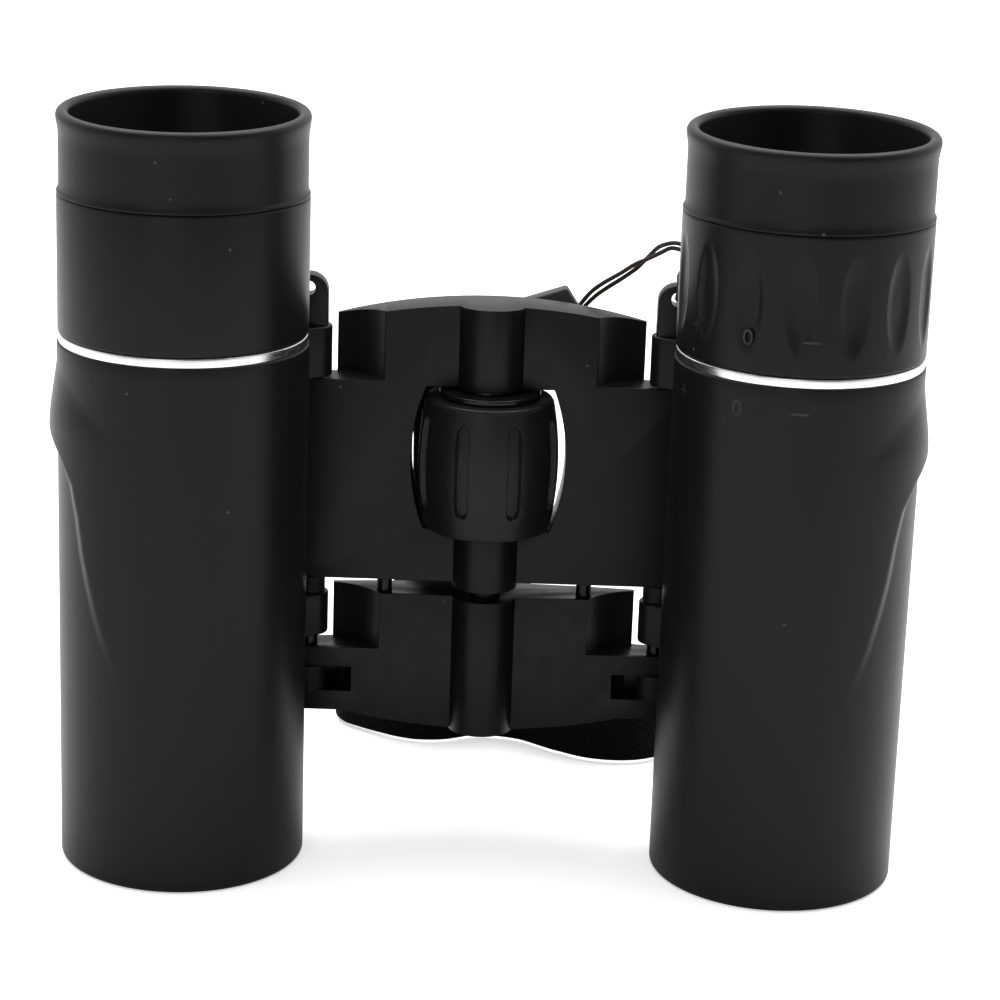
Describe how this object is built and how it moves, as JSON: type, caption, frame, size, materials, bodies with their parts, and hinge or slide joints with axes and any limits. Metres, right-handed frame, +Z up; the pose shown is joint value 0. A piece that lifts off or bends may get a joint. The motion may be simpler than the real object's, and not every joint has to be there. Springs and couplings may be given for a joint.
{
  "type": "binoculars",
  "caption": "Compact folding binoculars with two hinged barrels, a geared focus wheel in the bridge, rubber eyecups, a dioptre ring and a wrist strap.",
  "frame": {"origin": "middle of the outline on the plane that the barrels' lower ends stand on, measured without the strap", "axes": "+Z up along the barrels, from the objectives to the eyecups; +X across the two barrels, towards the one with the dioptre ring; +Y towards the bridge's back"},
  "size_m": [0.1212, 0.0798, 0.1074],
  "materials": {
    "black_plastic": "satin moulded",
    "wheel_rubber": "matt moulded",
    "wheel_core": "matt moulded",
    "eyecup_rubber": "smooth matt rubber",
    "trim_aluminium": "turned, bright",
    "black_metal": "black anodised",
    "steel": "turned",
    "spacer_plastic": "matt",
    "coated_glass": "polished, coated",
    "prism_glass": "polished",
    "cord_fabric": "braided",
    "webbing": "woven",
    "tab_leather": "smooth imitation leather"
  },
  "bodies": {
    "bridge": {"upper_bridge": "black_plastic", "bridge_plate": "black_metal", "plate_screws": "steel", "hinge_rod_left": "steel", "hinge_rod_right": "steel", "guide_rods": "steel", "hinge_spacers": "spacer_plastic", "wheel_pivot_pin": "steel", "wheel_washer": "steel"},
    "focus_wheel": {"wheel_hub": "wheel_core", "wheel_grip": "wheel_rubber"},
    "lower_bridge": {"lower_bridge": "black_plastic", "focus_spindle": "steel", "spindle_screw": "steel"},
    "left_barrel": {"left_barrel": "black_plastic", "left_trim_ring": "trim_aluminium", "left_ocular_sleeve": "black_plastic", "left_eyepiece_housing": "black_plastic", "left_eyecup": "eyecup_rubber", "left_ocular_cell": "black_plastic", "left_eye_lens": "coated_glass", "left_field_lens": "coated_glass", "left_prism_cage": "black_plastic", "left_roof_prism": "prism_glass", "left_half_prism": "prism_glass", "left_prism_clip": "steel"},
    "left_objective": {"left_objective_cell": "black_plastic", "left_crown_lens": "coated_glass", "left_flint_lens": "coated_glass", "left_objective_retainer": "black_metal"},
    "right_barrel": {"right_barrel": "black_plastic", "right_trim_ring": "trim_aluminium", "right_ocular_sleeve": "black_plastic", "right_prism_cage": "black_plastic", "right_roof_prism": "prism_glass", "right_half_prism": "prism_glass", "right_prism_clip": "steel", "strap_cord": "cord_fabric", "strap_tab": "tab_leather", "strap_band": "webbing"},
    "dioptre": {"dioptre_ring": "black_plastic", "right_eyecup": "eyecup_rubber"},
    "right_ocular": {"right_ocular_cell": "black_plastic", "right_eye_lens": "coated_glass", "right_field_lens": "coated_glass"},
    "right_objective": {"right_objective_cell": "black_plastic", "right_crown_lens": "coated_glass", "right_flint_lens": "coated_glass", "right_objective_retainer": "black_metal"}
  },
  "joints": [
    {"name": "left_fold", "type": "hinge", "parent": "bridge", "child": "left_barrel", "pos_m": [-0.0252, 0.0102, 0], "axis": [0, 0, 1], "range_deg": [0, 68]},
    {"name": "right_fold", "type": "hinge", "parent": "bridge", "child": "right_barrel", "pos_m": [0.0252, 0.0102, 0], "axis": [0, 0, 1], "range_deg": [-68, 0]},
    {"name": "focus_turn", "type": "hinge", "parent": "bridge", "child": "focus_wheel", "pos_m": [0, 0.0095, 0], "axis": [0, 0, 1], "range_deg": [-180, 108]},
    {"name": "lower_bridge_slide", "type": "slide", "parent": "bridge", "child": "lower_bridge", "axis": [0, 0, 1], "range_m": [-0.002, 0.0012]},
    {"name": "left_objective_slide", "type": "slide", "parent": "left_barrel", "child": "left_objective", "axis": [0, 0, 1], "range_m": [-0.002, 0.0012]},
    {"name": "right_objective_slide", "type": "slide", "parent": "right_barrel", "child": "right_objective", "axis": [0, 0, 1], "range_m": [-0.002, 0.0012]},
    {"name": "dioptre_turn", "type": "hinge", "parent": "right_barrel", "child": "dioptre", "pos_m": [0.0422, -0.0023, 0], "axis": [0, 0, 1], "range_deg": [-38, 38]},
    {"name": "right_ocular_slide", "type": "slide", "parent": "right_barrel", "child": "right_ocular", "axis": [0, 0, 1], "range_m": [-0.0008, 0.0008]}
  ],
  "couplings": [
    {"joint": "focus_turn", "follows": "lower_bridge_slide", "rad_per_m": 1570.8},
    {"joint": "left_objective_slide", "follows": "lower_bridge_slide", "ratio": 1},
    {"joint": "right_objective_slide", "follows": "lower_bridge_slide", "ratio": 1},
    {"joint": "right_ocular_slide", "follows": "dioptre_turn", "m_per_rad": 0.0012}
  ]
}
